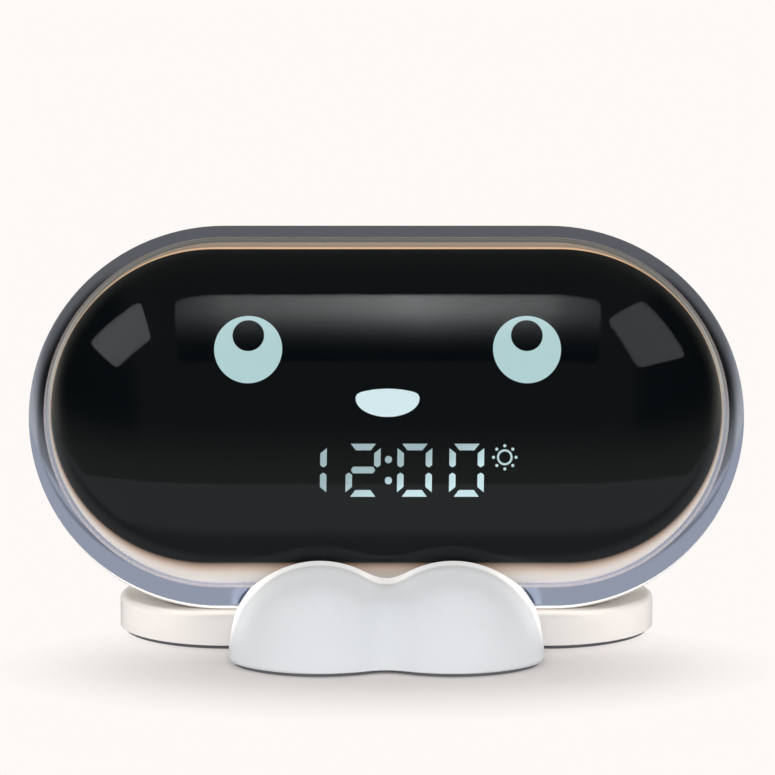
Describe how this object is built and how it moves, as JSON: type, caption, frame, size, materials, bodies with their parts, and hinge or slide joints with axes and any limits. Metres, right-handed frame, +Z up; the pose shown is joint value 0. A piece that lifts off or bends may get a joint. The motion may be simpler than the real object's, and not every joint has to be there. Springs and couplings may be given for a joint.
{
  "type": "kids alarm clock with night light",
  "caption": "Digital alarm clock for a child: a leaning oval face with glowing eyes, nose and time, on a flat foot with a milky twin-paw night light in front.",
  "frame": {"origin": "middle of the foot's sole, on the surface it stands on", "axes": "+X to the right as the child sees the clock, +Y away from the child, +Z up"},
  "size_m": [0.1722, 0.0909, 0.098],
  "materials": {
    "clear_cover": "polished clear",
    "rim_grey": "glossy grey",
    "ring_diffuser": "milky champagne",
    "face_black": "smoked black",
    "glow_window": "milky, lit from behind",
    "pupil_black": "smoked black",
    "digit_glow": "milky, lit from behind",
    "light_box_white": "matt white",
    "circuit_board": "solder mask green",
    "lamp_yellow": "phosphor",
    "frame_grey": "moulded",
    "shell_white": "glossy white",
    "screw_steel": "zinc plated",
    "battery_wrap": "shrink wrap",
    "switch_black": "moulded",
    "control_grey": "satin",
    "socket_metal": "drawn tube",
    "foam_black": "closed foam",
    "basket_steel": "pressed steel",
    "cone_paper": "pressed pulp",
    "magnet_steel": "plated",
    "plate_grey": "moulded",
    "sole_rubber": "soft matt",
    "paw_milky": "milky satin"
  },
  "bodies": {
    "clock": {"front_lens": "clear_cover", "rim_band": "rim_grey", "light_ring": "ring_diffuser", "face_mask": "face_black", "left_eye": "glow_window", "right_eye": "glow_window", "left_pupil": "pupil_black", "right_pupil": "pupil_black", "nose_window": "glow_window", "time_segments": "digit_glow", "sun_icon": "digit_glow", "light_box": "light_box_white", "display_board": "circuit_board", "display_lamps": "lamp_yellow", "ring_lamps": "lamp_yellow", "front_frame": "frame_grey", "rear_shell": "shell_white", "case_screws": "screw_steel", "main_board": "circuit_board", "board_screws": "screw_steel", "battery_pack": "battery_wrap", "tact_switches": "switch_black", "power_switch_body": "switch_black", "usb_socket": "socket_metal", "usb_tongue": "switch_black", "speaker_gasket": "foam_black", "speaker_basket": "basket_steel", "speaker_cone": "cone_paper", "speaker_magnet": "magnet_steel", "foot_cover": "shell_white", "base_plate": "plate_grey", "rubber_sole": "sole_rubber", "foot_screws": "screw_steel", "neck_screws": "screw_steel", "paw_diffuser": "paw_milky", "paw_light_board": "circuit_board", "paw_lamps": "lamp_yellow"},
    "time_key": {"button_time": "control_grey"},
    "alarm_key": {"button_alarm": "control_grey"},
    "up_key": {"button_up": "control_grey"},
    "down_key": {"button_down": "control_grey"},
    "light_key": {"button_light": "control_grey"},
    "power_slider": {"power_switch_knob": "control_grey"}
  },
  "joints": [
    {"name": "time_key_press", "type": "slide", "parent": "clock", "child": "time_key", "axis": [0, -0.9336, 0.3584], "range_m": [0, 0.0008], "stiffness_N_per_m": 400, "springref_m": -0.0005},
    {"name": "alarm_key_press", "type": "slide", "parent": "clock", "child": "alarm_key", "axis": [0, -0.9336, 0.3584], "range_m": [0, 0.0008], "stiffness_N_per_m": 400, "springref_m": -0.0005},
    {"name": "up_key_press", "type": "slide", "parent": "clock", "child": "up_key", "axis": [0, -0.9336, 0.3584], "range_m": [0, 0.0008], "stiffness_N_per_m": 400, "springref_m": -0.0005},
    {"name": "down_key_press", "type": "slide", "parent": "clock", "child": "down_key", "axis": [0, -0.9336, 0.3584], "range_m": [0, 0.0008], "stiffness_N_per_m": 400, "springref_m": -0.0005},
    {"name": "light_key_press", "type": "slide", "parent": "clock", "child": "light_key", "axis": [0, -0.9336, 0.3584], "range_m": [0, 0.0008], "stiffness_N_per_m": 400, "springref_m": -0.0005},
    {"name": "power_slider_slide", "type": "slide", "parent": "clock", "child": "power_slider", "axis": [1, 0, 0], "range_m": [-0.002, 0.002]}
  ]
}
